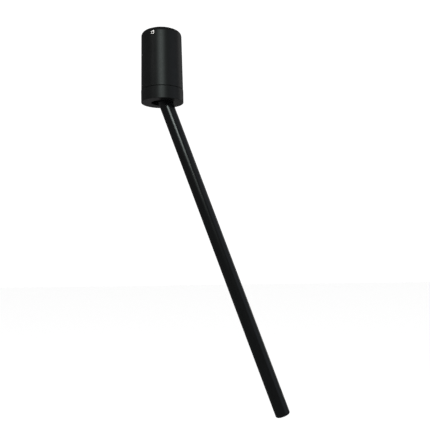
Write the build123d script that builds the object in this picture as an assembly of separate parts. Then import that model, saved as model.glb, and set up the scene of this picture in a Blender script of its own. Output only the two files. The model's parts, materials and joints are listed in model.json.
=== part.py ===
from build123d import *
import math
import os

# Adjustable ceiling tube light.
# A round canopy holds the driver and hangs from a plate under a ceiling or pergola beam. Under it a
# collar swivels, and a long slim tube with a lamp in its far end tilts in the collar's opening.
# Millimetres. The origin is the centre of the ceiling face, +Z points up into the ceiling, and the
# tube leans towards +X. Everything on the tube is drawn hanging straight down from the tilt pivot at
# the origin and is then turned and moved to its place by on_tube().

os.makedirs("parts", exist_ok=True)

# ---- driving dimensions -------------------------------------------------------------------------

# Clearances
swivel_gap = 0.4         # between faces that turn past each other
thrust_gap = 0.1         # between a bearing face and the face that rides on it
running_clearance = 0.05  # radial, shaft in bush or screw in cheek
assembly_clearance = 0.1  # radial, between pieces that are pushed together
over = 1.0                # how far a cutting shape runs past what it cuts

# Socket-head screws, as shares of their diameter or of their head
head_ratio = 1.75
head_height_ratio = 0.6
head_chamfer_ratio = 0.15
socket_ratio = 0.22
socket_depth_ratio = 0.6

# Canopy shell
canopy_diameter = 61.8    # at its lower edge
canopy_taper = 1.2        # radial, from the lower edge to the top
canopy_height = 87.4
canopy_rim_radius = 6.5
canopy_edge_chamfer = 0.5
canopy_wall = 2.9         # thinnest, at the top
canopy_floor = 4.0
canopy_skirt_depth = 11.4
rim_land = 2.7            # flat ring round the flange's bore
flange_depth = 15.0
gasket_thickness = 1.0
gasket_width = 2.0

# Ceiling plate
plate_thickness = 2.0
plate_rim_depth = 12.0
plate_rim_wall = 1.5
plate_clearance = 0.4     # radial, plate's rim in the canopy's flange
slot_margin = 2.1         # from a slot's outer end to the plate's edge
slot_length = 9.0
slot_width = 4.4
inlet_hole_diameter = 9.0
inlet_bore_diameter = 6.0
inlet_lip = 1.2
inlet_margin = 2.9        # from the grommet's lip to the plate's rim

# Grub screws that clamp the canopy to the plate's rim
grub_diameter = 6.0
grub_depth_below_rim = 8.8
grub_count = 3
grub_azimuth = 258.0
grub_end_chamfer = 0.3
grub_recess = 0.5
grub_socket = 3.0
grub_socket_depth = 3.5
grub_point = 1.2
grub_dimple = 0.4

# Swivel joint
stem_diameter = 14.0
stem_bore_diameter = 8.4
stem_reach = 10.0
bush_wall = 1.5
bush_flange_width = 2.95  # from the bush's sleeve to its flange's edge
bush_flange_thickness = 1.3
washer_width = 4.0        # from the stem to the edge of the thrust and spring washers
thrust_washer_thickness = 1.0
spring_washer_thickness = 0.5
spring_washer_height = 1.5
stem_nut_wall = 3.0       # from the stem to the nut's flats
stem_nut_height = 6.0
stem_nut_chamfer = 0.6
seal_gap = 1.5            # from the bush's flange to the seal
seal_width = 1.6
seal_height = 1.6
stop_gap = 0.9            # from the seal to the stop groove
stop_pin_diameter = 2.0
stop_pin_gap = 0.35       # round the pin in its groove
stop_azimuth = 90.0
stop_groove_depth = 2.2
stop_land_angle = 12.0
stop_pin_seat = 3.0

# Collar and yoke
collar_step = 0.3         # radial, how far the collar stands proud of the canopy
collar_height = 18.2
spigot_wall = 2.4
collar_floor = 4.0
collar_edge_chamfer = 0.5
collar_bottom_fillet = 0.5
opening_chamfer = 0.5
yoke_base_thickness = 4.0
ear_width = 12.0
ear_thickness = 3.5
collar_screw_diameter = 3.0
collar_screw_sink = 2.2   # of the screw's head below the yoke's top
collar_screw_fit = 0.2    # radial, round the sunk head
collar_screw_length = 9.0
collar_screw_start = 60.0
collar_screw_count = 3
boss_diameter = 7.0
boss_bite = 1.0           # of the boss into the spigot's wall

# Tilt joint
pivot_height = 14.0       # above the collar's underside
rest_tilt = 19.6          # lean of the tube when it rests on the opening's rim
rim_clearance = 0.4
pivot_screw_diameter = 5.0
pivot_head_diameter = 8.0
pivot_head_height = 2.5
pivot_socket = 3.0
pivot_socket_depth = 1.6
pivot_screw_setback = 0.2  # of the screw's end inside the cheek
friction_washer_thickness = 0.5
friction_washer_diameter = 11.0
cheek_width = 11.6
cheek_thickness = 3.2
cheek_gap = 9.6           # between the two cheeks, where the cable passes
shoulder_thickness = 2.0
plug_length = 16.0
ear_to_shoulder = 0.6
shoulder_chamfer = 0.6

# Tube
tube_diameter = 20.8
tube_wall = 1.5
lamp_reach = 494.0        # from the tilt pivot to the lamp's face
lock_screw_diameter = 3.0
lock_screw_length = 5.0
lock_screw_offset = 3.0   # below the tube's upper end
lock_screw_recess = 0.2
lock_socket = 1.5
lock_socket_depth = 1.4

# Lamp in the tube's end
bezel_height = 6.0
bezel_outer_radius = 3.2
bezel_lip = 2.0
bezel_lip_width = 1.1     # how far the lip covers the glass
bezel_spigot_wall = 1.25
bezel_spigot = 5.0
seal_ring_thickness = 0.6
glass_thickness = 1.6
lens_height = 8.5
lens_rim_height = 1.0
lens_taper = 0.5          # the lens's small end as a share of its large end
lens_fit = 0.3            # radial, round the lens
lens_gap = 0.2
lens_socket_diameter = 4.8
lens_socket_depth = 2.2
holder_height = 3.4
led_board_thickness = 1.6
led_size = 3.0
led_height = 0.7
heat_sink_length = 32.0
heat_sink_grooves = 5
heat_sink_groove_width = 2.0
heat_sink_groove_depth = 1.6
heat_sink_bore_clearance = 0.2
board_screw_diameter = 2.0
board_screw_inset = 3.0   # from the tube's bore
board_screw_bite = 3.5

# Cable and leads
cable_diameter = 4.8
cable_joint_gap = 0.35    # free gap where the cable crosses a joint
cable_stand = 1.0         # of the cable above the stem
cable_end_gap = 0.5       # from a cable's end to the board it feeds
cable_hole_clearance = 2.0
deck_grommet_lip = 1.0
knuckle_bore_clearance = 0.8
knuckle_grommet_length = 8.0
lead_diameter = 1.8
earth_lead_diameter = 1.4

# Driver and its bracket
bracket_height = 15.5
bracket_thickness = 1.5
bracket_leg_width = 8.0
bracket_head_gap = 0.8    # from the stem nut's corners to the foot screws' heads
bracket_foot = 4.8
bracket_screw_diameter = 2.5
bracket_screw_bite = 2.0  # into the canopy floor
driver_clearance = 1.0    # radial, driver in the canopy's upper bore
driver_height = 26.5
driver_wall = 1.5
driver_base = 3.0
driver_lid_thickness = 2.0
driver_boss_diameter = 6.0
driver_boss_gap = 1.0     # from a boss to the wall, and to the board
board_gap = 0.8           # from the board's corners to the wall
board_thickness = 1.6
board_standoff = 3.5
board_post_diameter = 3.0
board_post_inset = (3.0, 2.0)
driver_screw_share = 0.6  # of the driver's radius, where its two screws stand
driver_screw_diameter = 3.0
driver_screw_bite = 2.0   # into the driver's base
lid_screw_diameter = 2.5
lid_screw_bite = 6.0
part_edge = 1.0           # from the board's end to the parts on it
transformer_size = (12.0, 12.0, 13.0)
transformer_wall = 2.2
coil_gap = 0.3
capacitor_diameter = 8.0
capacitor_height = 14.0
capacitor_fillet = 0.8
block_size = (22.0, 12.0, 10.0)
terminal_pitch = 7.0
terminal_hole_diameter = 3.2
terminal_hole_depth = 3.4
terminal_screw_height = 2.4
terminal_slot = (0.7, 0.8)
block_fillet = 1.0
lead_entry_height = 5.0
lead_bend_radius = 2.5
lead_stand = 6.0
earth_screw_diameter = 4.0
earth_lug_diameter = 6.8
earth_lug_tail = (3.0, 2.4)
earth_lug_thickness = 0.8
earth_bend_radius = 1.2

# ---- levels and radii that follow ---------------------------------------------------------------

canopy_top = -gasket_thickness
canopy_bottom = canopy_top - canopy_height
floor_under = canopy_bottom + canopy_skirt_depth
floor_top = floor_under + canopy_floor
yoke_top = floor_under - swivel_gap
yoke_under = yoke_top - yoke_base_thickness
collar_top = canopy_bottom - swivel_gap
collar_bottom = collar_top - collar_height
collar_inner_floor = collar_bottom + collar_floor
pivot_z = collar_bottom + pivot_height
stem_top = floor_top + stem_reach
bracket_top = floor_top + bracket_height
driver_top = bracket_top + driver_height
block_top = driver_top + block_size[2]

canopy_low_radius = canopy_diameter / 2
canopy_top_radius = canopy_low_radius - canopy_taper
canopy_bore_radius = canopy_top_radius - canopy_wall
flange_bore_radius = canopy_top_radius - canopy_rim_radius - rim_land
collar_radius = canopy_low_radius + collar_step
spigot_radius = canopy_bore_radius - swivel_gap
collar_bore_radius = spigot_radius - spigot_wall
collar_screw_circle = collar_bore_radius - boss_diameter / 2 + boss_bite

stem_radius = stem_diameter / 2
washer_radius = stem_radius + washer_width
bush_radius = stem_radius + running_clearance + bush_wall
bush_flange_radius = bush_radius + bush_flange_width
seal_inner_radius = bush_flange_radius + seal_gap
seal_outer_radius = seal_inner_radius + seal_width
stop_groove_inner = seal_outer_radius + stop_gap
stop_groove_outer = stop_groove_inner + stop_pin_diameter + 2 * stop_pin_gap
stop_circle = (stop_groove_inner + stop_groove_outer) / 2

plate_radius = flange_bore_radius - plate_clearance
plate_rim_inner = plate_radius - plate_rim_wall
slot_place = plate_radius - slot_margin - slot_length / 2
inlet_place = plate_rim_inner - inlet_margin - inlet_lip - inlet_hole_diameter / 2
earth_place = plate_rim_inner - plate_clearance - earth_screw_diameter * head_ratio / 2
driver_radius = flange_bore_radius - driver_clearance
driver_inner_radius = driver_radius - driver_wall
driver_boss_place = driver_inner_radius - driver_boss_gap - driver_boss_diameter / 2
board_half_width = driver_boss_place - driver_boss_diameter / 2 - driver_boss_gap
board_half_length = math.sqrt((driver_inner_radius - board_gap) ** 2 - board_half_width ** 2)
driver_screw_place = driver_radius * driver_screw_share
nut_corner_radius = (stem_radius + stem_nut_wall) / math.cos(math.radians(30))
bracket_screw_place = nut_corner_radius + bracket_head_gap + bracket_screw_diameter * head_ratio / 2
bracket_leg_inner = bracket_screw_place + bracket_foot / 2
driver_board_top = bracket_top + driver_base + board_standoff + board_thickness
tube_radius = tube_diameter / 2
tube_bore_radius = tube_radius - tube_wall
plug_radius = tube_bore_radius - assembly_clearance / 2
bezel_bore_radius = plug_radius - bezel_spigot_wall
aperture_radius = bezel_bore_radius - bezel_lip_width
lens_radius = bezel_bore_radius - lens_fit
board_screw_place = tube_bore_radius - board_screw_inset
cable_radius = cable_diameter / 2
tilt = math.radians(rest_tilt)
opening_radius = pivot_height * math.tan(tilt) + tube_radius / math.cos(tilt) + rim_clearance
cheek_face = cheek_gap / 2 + cheek_thickness
ear_face = cheek_face + thrust_gap + friction_washer_thickness
ear_back = ear_face + ear_thickness
shoulder_top = -(ear_width / 2 + ear_to_shoulder)
tube_top = shoulder_top - shoulder_thickness
lamp_face = -lamp_reach
bezel_top = lamp_face + bezel_height
glass_bottom = lamp_face + bezel_lip + seal_ring_thickness
glass_top = glass_bottom + glass_thickness
lens_bottom = glass_top + lens_gap
lens_top = lens_bottom + lens_height
holder_bottom = bezel_top + bezel_spigot
led_board_bottom = holder_bottom + holder_height
led_board_top = led_board_bottom + led_board_thickness


# ---- small shapes -------------------------------------------------------------------------------

def rod(radius, bottom, top):
    """A round bar standing between two heights."""
    return Pos(0, 0, bottom) * Cylinder(radius, top - bottom, align=(Align.CENTER, Align.CENTER, Align.MIN))


def ring(outer, inner, bottom, top):
    """A round washer or sleeve between two heights."""
    return rod(outer, bottom, top) - rod(inner, bottom - over, top + over)


def block(x, y, z):
    """A box given by its (low, high) pairs along X, Y and Z."""
    size = [high - low for low, high in (x, y, z)]
    centre = [(high + low) / 2 for low, high in (x, y, z)]
    return Pos(*centre) * Box(*size)


def cross_rod(radius, near, far):
    """A round bar along Y between two distances, through the origin's height."""
    return Rot(-90, 0, 0) * rod(radius, near, far)


def around(count, start=0.0):
    """The azimuths of features spaced evenly round the Z axis."""
    return [start + 360.0 / count * i for i in range(count)]


def polar(radius, azimuth, z=0.0):
    """A place at a radius and azimuth, turned to face outwards."""
    return Rot(0, 0, azimuth) * Pos(radius, 0, z)


def hexagon(across_flats, depth):
    """A hexagonal bar standing on the origin."""
    return extrude(RegularPolygon(across_flats / 2, 6, major_radius=False), depth)


def screw(diameter, length):
    """A socket-head screw pointing down, the underside of its head at the origin."""
    head_height = diameter * head_height_ratio
    body = rod(diameter / 2, -length, 0) + rod(diameter * head_ratio / 2, 0, head_height)
    body = chamfer(body.edges().sort_by(Axis.Z)[-1], head_height * head_chamfer_ratio)
    socket = hexagon(2 * diameter * head_ratio * socket_ratio, head_height)
    return body - Pos(0, 0, head_height * (1 - socket_depth_ratio)) * socket


def group(shapes):
    """Several separate solids kept as one node."""
    return Compound(children=list(shapes))


def lead(points, bend, diameter):
    """A round lead along straight runs joined by tangent arcs."""
    path = FilletPolyline(*points, radius=bend)
    start = Plane(origin=path @ 0, z_dir=path % 0)
    return sweep(start * Circle(diameter / 2), path=path)


def on_tube(shape):
    """Turn a piece that hangs straight down from the origin to its rest lean at the pivot."""
    return Pos(0, 0, pivot_z) * Rot(0, -rest_tilt, 0) * shape


def cone(low_radius, high_radius, bottom, top):
    """A round bar that tapers between two heights."""
    return Pos(0, 0, bottom) * Cone(low_radius, high_radius, top - bottom,
                                    align=(Align.CENTER, Align.CENTER, Align.MIN))


def grub_seat_radius():
    """The canopy's outer radius at the grub screws' height, less the screws' recess."""
    share = (canopy_top - grub_depth_below_rim - canopy_bottom) / canopy_height
    return canopy_low_radius + share * (canopy_top_radius - canopy_low_radius) - grub_recess


# ---- ceiling plate and gasket -------------------------------------------------------------------

def ceiling_gasket():
    """Rubber ring between the canopy's rim and the ceiling."""
    return ring(flange_bore_radius + gasket_width, flange_bore_radius, canopy_top, 0)


def mounting_plate():
    """Pressed steel plate with a turned-down rim, two slots, a cable hole and an earth hole."""
    plate = rod(plate_radius, -plate_rim_depth, 0)
    plate = fillet(plate.edges().sort_by(Axis.Z)[-1], plate_thickness * 0.5)
    plate -= rod(plate_rim_inner, -plate_rim_depth - over, -plate_thickness)
    slot = extrude(SlotOverall(slot_length, slot_width), plate_thickness * 2, both=True)
    for side in (-1, 1):
        plate -= Pos(side * slot_place, 0, 0) * slot
    plate -= Pos(0, -inlet_place, 0) * rod(inlet_hole_diameter / 2, -plate_thickness - over, over)
    plate -= Pos(0, earth_place, 0) * rod(earth_screw_diameter / 2, -plate_thickness - over, over)
    tip = grub_diameter / 2 - grub_point
    for azimuth in around(grub_count, grub_azimuth):
        dimple = Rot(0, 90, 0) * rod(tip + grub_dimple + running_clearance, -grub_dimple, over)
        plate -= polar(plate_radius, azimuth, canopy_top - grub_depth_below_rim) * dimple
    return plate


def inlet_grommet():
    """Rubber grommet in the plate's cable hole, open for the building's supply cable."""
    bore = inlet_bore_diameter / 2
    grommet = rod(inlet_hole_diameter / 2, -plate_thickness, 0)
    grommet += rod(inlet_hole_diameter / 2 + inlet_lip, -plate_thickness - inlet_lip, -plate_thickness)
    grommet = fillet(grommet.edges().sort_by(Axis.Z)[0], inlet_lip * 0.5)
    grommet -= rod(bore, -plate_thickness - inlet_lip - over, over)
    return Pos(0, -inlet_place, 0) * grommet


def earth_screw():
    """Screw that clamps the earth lug to the plate from below."""
    length = plate_thickness + earth_lug_thickness - 2 * assembly_clearance
    shape = screw(earth_screw_diameter, length)
    return Pos(0, earth_place, -plate_thickness - earth_lug_thickness) * Rot(180, 0, 0) * shape


def earth_lug():
    """Ring tongue under the earth screw, with a tail for the lead."""
    low, high = -plate_thickness - earth_lug_thickness, -plate_thickness
    lug_radius = earth_lug_diameter / 2
    lug = Pos(0, earth_place, 0) * rod(lug_radius, low, high)
    width, length = earth_lug_tail
    lug += block((-width / 2, width / 2), (earth_place - lug_radius - length, earth_place), (low, high))
    return lug - Pos(0, earth_place, 0) * rod(earth_screw_diameter / 2, low - over, high + over)


def earth_lead():
    """Lead from the terminal block's middle way up to the earth lug's tail."""
    tail = earth_place - earth_lug_diameter / 2 - earth_lug_tail[1] / 2
    wall = block_size[1] / 2
    low = driver_top + lead_entry_height
    high = -plate_thickness - earth_lug_thickness
    return lead([(0, wall, low), (0, tail, low), (0, tail, high)], earth_bend_radius, earth_lead_diameter)


# ---- canopy -------------------------------------------------------------------------------------

def canopy_body():
    """Turned aluminium shell: thick flange at the top, thin wall, floor and skirt at the bottom."""
    shell = cone(canopy_low_radius, canopy_top_radius, canopy_bottom, canopy_top)
    shell = fillet(shell.edges().sort_by(Axis.Z)[-1], canopy_rim_radius)
    shell = chamfer(shell.edges().sort_by(Axis.Z)[0], canopy_edge_chamfer)
    shell -= rod(flange_bore_radius, canopy_top - flange_depth - over, over)
    shell -= rod(canopy_bore_radius, floor_top, canopy_top - flange_depth)
    shell -= rod(canopy_bore_radius, canopy_bottom - over, floor_under)
    shell -= rod(bush_radius, floor_under - over, floor_top + over)
    flange_seat = bush_flange_thickness - swivel_gap + thrust_gap
    shell -= rod(bush_flange_radius, floor_under - over, floor_under + flange_seat)
    seal_seat = seal_height - swivel_gap + thrust_gap
    shell -= ring(seal_outer_radius, seal_inner_radius, floor_under - over, floor_under + seal_seat)
    shell -= polar(stop_circle, stop_azimuth) * rod(stop_pin_diameter / 2, floor_under - over,
                                                    floor_under + stop_pin_seat)
    for side in (-1, 1):
        shell -= Pos(side * bracket_screw_place, 0, 0) * rod(
            bracket_screw_diameter / 2, floor_top - bracket_screw_bite, floor_top + over)
    radius = grub_diameter / 2
    seat = grub_seat_radius()
    hole = rod(radius, 0, canopy_low_radius + over)
    hole += cone(radius, radius + grub_recess + over, seat, seat + grub_recess + over)
    for azimuth in around(grub_count, grub_azimuth):
        shell -= polar(0, azimuth, canopy_top - grub_depth_below_rim) * (Rot(0, 90, 0) * hole)
    return shell


def canopy_grub_screws():
    """Stainless socket grub screws, their points in the plate rim's dimples."""
    radius = grub_diameter / 2
    outer = grub_seat_radius()
    inner = plate_radius - grub_dimple
    body = rod(radius, inner + grub_point, outer)
    body = chamfer(body.edges().sort_by(Axis.Z)[-1], grub_end_chamfer)
    body += cone(radius - grub_point, radius, inner, inner + grub_point)
    body -= Pos(0, 0, outer - grub_socket_depth) * hexagon(grub_socket, grub_socket_depth + over)
    level = canopy_top - grub_depth_below_rim
    return group(polar(0, azimuth, level) * (Rot(0, 90, 0) * body)
                 for azimuth in around(grub_count, grub_azimuth))


# ---- driver and wiring --------------------------------------------------------------------------

def driver_bracket():
    """Bent steel bridge that holds the driver clear of the swivel nut."""
    deck = rod(driver_radius, bracket_top - bracket_thickness, bracket_top)
    deck -= rod(cable_radius + cable_hole_clearance, bracket_top - bracket_thickness - over,
                bracket_top + over)
    half = bracket_leg_width / 2
    for side in (-1, 1):
        inner = side * bracket_leg_inner
        outer = inner + side * bracket_thickness
        toe = inner - side * bracket_foot
        leg = block(sorted((inner, outer)), (-half, half), (floor_top, bracket_top - bracket_thickness))
        foot = block(sorted((toe, outer)), (-half, half), (floor_top, floor_top + bracket_thickness))
        hole = Pos(side * bracket_screw_place, 0, 0) * rod(
            bracket_screw_diameter / 2, floor_top - over, floor_top + bracket_thickness + over)
        deck = deck + leg + foot - hole
        deck -= Pos(side * driver_screw_place, 0, 0) * rod(
            driver_screw_diameter / 2, bracket_top - bracket_thickness - over, bracket_top + over)
    return deck


def bracket_screws():
    """Two screws from the bracket's feet into the canopy floor."""
    shape = screw(bracket_screw_diameter, bracket_thickness + bracket_screw_bite)
    height = floor_top + bracket_thickness
    return group(Pos(side * bracket_screw_place, 0, height) * shape for side in (-1, 1))


def driver_screws():
    """Two screws from under the bracket's deck into the driver's base."""
    shape = Rot(180, 0, 0) * screw(driver_screw_diameter, bracket_thickness + driver_screw_bite)
    height = bracket_top - bracket_thickness
    return group(Pos(side * driver_screw_place, 0, height) * shape for side in (-1, 1))


def driver_case():
    """Round plastic can of the driver, with lid bosses and board posts."""
    case = rod(driver_radius, bracket_top, driver_top - driver_lid_thickness)
    case -= rod(driver_inner_radius, bracket_top + driver_base, driver_top)
    inner_floor = bracket_top + driver_base
    boss = rod(driver_boss_diameter / 2, inner_floor, driver_top - driver_lid_thickness)
    boss -= rod(lid_screw_diameter / 2, driver_top - driver_lid_thickness - lid_screw_bite, driver_top)
    post = rod(board_post_diameter / 2, inner_floor, inner_floor + board_standoff)
    for side in (-1, 1):
        case += Pos(0, side * driver_boss_place, 0) * boss
        case -= Pos(side * driver_screw_place, 0, 0) * rod(
            driver_screw_diameter / 2, bracket_top - over, bracket_top + driver_screw_bite)
        for end in (-1, 1):
            x = end * (board_half_length - board_post_inset[0])
            y = side * (board_half_width - board_post_inset[1])
            case += Pos(x, y, 0) * post
    return case - rod(cable_radius + assembly_clearance, bracket_top - over, inner_floor + over)


def driver_lid():
    """Flat lid of the driver, with screw holes and two lead holes."""
    low = driver_top - driver_lid_thickness
    lid = rod(driver_radius, low, driver_top)
    for side in (-1, 1):
        lid -= Pos(0, side * driver_boss_place, 0) * rod(lid_screw_diameter / 2, low - over,
                                                         driver_top + over)
    for x in (-terminal_pitch, terminal_pitch):
        lid -= Pos(x, -block_size[1] / 2 - lead_stand, 0) * rod(lead_diameter / 2, low - over,
                                                                driver_top + over)
    return lid


def driver_lid_screws():
    """Two screws that hold the driver's lid."""
    shape = screw(lid_screw_diameter, driver_lid_thickness + lid_screw_bite)
    return group(Pos(0, side * driver_boss_place, driver_top) * shape for side in (-1, 1))


def driver_board():
    """Circuit board on the case's posts."""
    low, high = driver_board_top - board_thickness, driver_board_top
    board = block((-board_half_length, board_half_length), (-board_half_width, board_half_width),
                  (low, high))
    return board - rod(cable_radius + assembly_clearance, low - over, high + over)


def driver_transformer():
    """Wound transformer on the board: a bobbin between two core halves."""
    length, width, height = transformer_size
    low = driver_board_top
    high = low + height
    x = board_half_length - length / 2 - part_edge
    window_half = length / 2 - transformer_wall
    core = block((x - length / 2, x + length / 2), (-width / 2, width / 2), (low, high))
    window = block((x - window_half, x + window_half), (-width / 2 - over, width / 2 + over),
                   (low + transformer_wall, high - transformer_wall))
    coil = Pos(x, 0, 0) * rod(window_half - coil_gap, low + transformer_wall, high - transformer_wall)
    return core - window + coil


def driver_capacitor():
    """Reservoir capacitor standing on the board."""
    low = driver_board_top
    can = rod(capacitor_diameter / 2, low, low + capacitor_height)
    can = fillet(can.edges().sort_by(Axis.Z)[-1], capacitor_fillet)
    return Pos(-board_half_length + capacitor_diameter / 2 + part_edge, 0, 0) * can


def terminal_block():
    """Three-way screw terminal on the driver's lid."""
    width, depth, height = block_size
    body = block((-width / 2, width / 2), (-depth / 2, depth / 2), (driver_top, block_top))
    body = fillet(body.edges().filter_by(Axis.Z), block_fillet)
    for x in (-terminal_pitch, 0, terminal_pitch):
        body -= Pos(x, 0, 0) * rod(terminal_hole_diameter / 2, block_top - terminal_hole_depth,
                                   block_top + over)
    return body


def terminal_screws():
    """Clamping screws sunk in the terminal block's ways."""
    radius = terminal_hole_diameter / 2 - assembly_clearance
    low = block_top - terminal_hole_depth
    high = low + terminal_screw_height
    width, depth = terminal_slot
    shape = rod(radius, low, high)
    shape -= block((-radius, radius), (-width / 2, width / 2), (high - depth, high + over))
    return group(Pos(x, 0, 0) * shape for x in (-terminal_pitch, 0, terminal_pitch))


def driver_input_leads():
    """Live and neutral leads from the driver's lid into the terminal block."""
    wall = -block_size[1] / 2
    stand = wall - lead_stand
    low, high = driver_top - driver_lid_thickness, driver_top + lead_entry_height
    return group(
        lead([(x, stand, low), (x, stand, high), (x, wall, high)], lead_bend_radius, lead_diameter)
        for x in (-terminal_pitch, terminal_pitch))


def driver_output_cable():
    """Cable from the driver's base down to the top of the swivel stem."""
    return rod(cable_radius, stem_top + cable_stand + cable_joint_gap,
               driver_board_top - board_thickness - cable_end_gap)


def cable_grommet():
    """Rubber grommet where the cable passes the bracket's deck."""
    low = bracket_top - bracket_thickness
    inner = cable_radius + assembly_clearance / 2
    outer = cable_radius + cable_hole_clearance
    sleeve = ring(outer - assembly_clearance, inner, low, bracket_top)
    return sleeve + ring(outer + deck_grommet_lip, inner, low - deck_grommet_lip, low)


# ---- swivel joint -------------------------------------------------------------------------------

def swivel_bush():
    """Flanged plastic bush pressed into the canopy floor; the yoke rides on its flange."""
    bottom = floor_under - swivel_gap + thrust_gap
    flange_top = bottom + bush_flange_thickness
    sleeve = ring(bush_radius, stem_radius + running_clearance, bottom, floor_top)
    return sleeve + ring(bush_flange_radius, stem_radius + running_clearance, bottom, flange_top)


def swivel_seal():
    """Square-section rubber ring in the canopy floor's underside groove."""
    bottom = floor_under - swivel_gap + thrust_gap
    return ring(seal_outer_radius, seal_inner_radius, bottom, bottom + seal_height)


def swivel_stop_pin():
    """Pin that runs in the yoke's groove and stops the swivel before the cable twists."""
    bottom = yoke_top - stop_groove_depth + swivel_gap
    return polar(stop_circle, stop_azimuth) * rod(stop_pin_diameter / 2, bottom, floor_under + stop_pin_seat)


def yoke():
    """Turned base with a hollow threaded stem above and two pivot ears below."""
    body = rod(spigot_radius - assembly_clearance, yoke_under, yoke_top)
    body += rod(stem_radius, yoke_top, stem_top)
    ear = block((-ear_width / 2, ear_width / 2), (ear_face, ear_back), (pivot_z, yoke_under))
    ear += Pos(0, 0, pivot_z) * cross_rod(ear_width / 2, ear_face, ear_back)
    ear -= Pos(0, 0, pivot_z) * cross_rod(pivot_screw_diameter / 2, ear_face - over, ear_back + over)
    for turn in (0, 180):
        body += Rot(0, 0, turn) * ear
    body -= rod(stem_bore_diameter / 2, yoke_under - over, stem_top + over)
    groove = ring(stop_groove_outer, stop_groove_inner, yoke_top - stop_groove_depth, yoke_top + over)
    land_half = stop_circle * math.tan(math.radians(stop_land_angle / 2))
    land = block((stem_radius, spigot_radius), (-land_half, land_half), (yoke_under, yoke_top + over))
    land = Rot(0, 0, stop_azimuth + 180) * land
    body -= groove - land
    for azimuth in around(collar_screw_count, collar_screw_start):
        hole = rod(collar_screw_diameter / 2, yoke_under - over, yoke_top + over)
        hole += rod(collar_screw_diameter * head_ratio / 2 + collar_screw_fit,
                    yoke_top - collar_screw_sink, yoke_top + over)
        body -= polar(collar_screw_circle, azimuth) * hole
    return body


def thrust_washer():
    """Low-friction washer over the bush, under the spring washer."""
    low = floor_top + thrust_gap
    return ring(washer_radius, stem_radius + assembly_clearance, low, low + thrust_washer_thickness)


def spring_washer():
    """Bowed spring washer that gives the swivel its drag."""
    low = floor_top + thrust_gap + thrust_washer_thickness
    bow = spring_washer_height - spring_washer_thickness
    curve = (washer_radius ** 2 + bow ** 2) / (2 * bow)
    height = low + spring_washer_height - curve - spring_washer_thickness
    sheet = cross_rod(curve + spring_washer_thickness, -washer_radius, washer_radius)
    sheet -= cross_rod(curve, -washer_radius - over, washer_radius + over)
    flat = ring(washer_radius, stem_radius + assembly_clearance, low, low + spring_washer_height)
    return flat & (Pos(0, 0, height) * sheet)


def stem_nut():
    """Hexagon nut on the stem that holds the whole lower part up."""
    low = floor_top + thrust_gap + thrust_washer_thickness + spring_washer_height
    nut = hexagon(stem_diameter + 2 * stem_nut_wall, stem_nut_height)
    nut = chamfer(nut.edges().filter_by(Plane.XY), stem_nut_chamfer)
    return Pos(0, 0, low) * (nut - rod(stem_radius, -over, stem_nut_height + over))


def swivel_collar():
    """Turned lower ring with a spigot inside the skirt, a round opening and three screw bosses."""
    outer = rod(collar_radius, collar_bottom, collar_top)
    outer = chamfer(outer.edges().sort_by(Axis.Z)[-1], collar_edge_chamfer)
    outer = fillet(outer.edges().sort_by(Axis.Z)[0], collar_bottom_fillet)
    body = outer + rod(spigot_radius, collar_top, yoke_under)
    body -= rod(collar_bore_radius, collar_inner_floor, yoke_under + over)
    body -= rod(opening_radius, collar_bottom - over, collar_inner_floor + over)
    rim = body.edges().filter_by(GeomType.CIRCLE)
    rim = [edge for edge in rim if abs(edge.radius - opening_radius) < 0.01]
    body = chamfer(min(rim, key=lambda edge: edge.center().Z), opening_chamfer)
    boss = rod(boss_diameter / 2, collar_inner_floor, yoke_under)
    hole = rod(collar_screw_diameter / 2, yoke_under - collar_screw_length, yoke_under + over)
    for azimuth in around(collar_screw_count, collar_screw_start):
        body += polar(collar_screw_circle, azimuth) * boss
        body -= polar(collar_screw_circle, azimuth) * hole
    return body


def collar_screws():
    """Screws that pull the collar up against the yoke's base."""
    shape = screw(collar_screw_diameter, collar_screw_length)
    return group(polar(collar_screw_circle, azimuth, yoke_top - collar_screw_sink) * shape
                 for azimuth in around(collar_screw_count, collar_screw_start))


def stem_cable():
    """Cable through the hollow stem, from the tilt pivot to just above the stem."""
    return rod(cable_radius, pivot_z + cable_radius + cable_joint_gap, stem_top + cable_stand)


def pivot_screws():
    """Two shoulder screws, one through each ear into the knuckle's cheek."""
    shank = cross_rod(pivot_screw_diameter / 2, cheek_gap / 2 + pivot_screw_setback, ear_back)
    end = ear_back + pivot_head_height
    head = cross_rod(pivot_head_diameter / 2, ear_back, end)
    socket = Rot(-90, 0, 0) * Pos(0, 0, end - pivot_socket_depth) * hexagon(pivot_socket, pivot_head_height)
    shape = Pos(0, 0, pivot_z) * (shank + head - socket)
    return group(Rot(0, 0, turn) * shape for turn in (0, 180))


def friction_washers():
    """Fibre washers between each ear and cheek that hold the chosen tilt."""
    washer = cross_rod(friction_washer_diameter / 2, ear_face - friction_washer_thickness, ear_face)
    washer -= cross_rod(pivot_screw_diameter / 2, 0, ear_back)
    return group(Rot(0, 0, turn) * Pos(0, 0, pivot_z) * washer for turn in (0, 180))


# ---- tube, drawn hanging from the pivot ---------------------------------------------------------

def knuckle():
    """Plug in the tube's top with two pivot cheeks and a cable bore."""
    cheek = block((-cheek_width / 2, cheek_width / 2), (cheek_gap / 2, cheek_face), (shoulder_top, 0))
    cheek += cross_rod(cheek_width / 2, cheek_gap / 2, cheek_face)
    cheek -= cross_rod(pivot_screw_diameter / 2 + running_clearance, 0, cheek_face + over)
    plug_end = tube_top - plug_length
    body = rod(tube_radius, tube_top, shoulder_top)
    body = chamfer(body.edges().sort_by(Axis.Z)[-1], shoulder_chamfer)
    body += rod(plug_radius, plug_end, tube_top)
    for turn in (0, 180):
        body += Rot(0, 0, turn) * cheek
        body -= Rot(0, 0, turn) * lock_screw_space()
    return body - rod(cable_radius + knuckle_bore_clearance, plug_end - over, shoulder_top + over)


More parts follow.
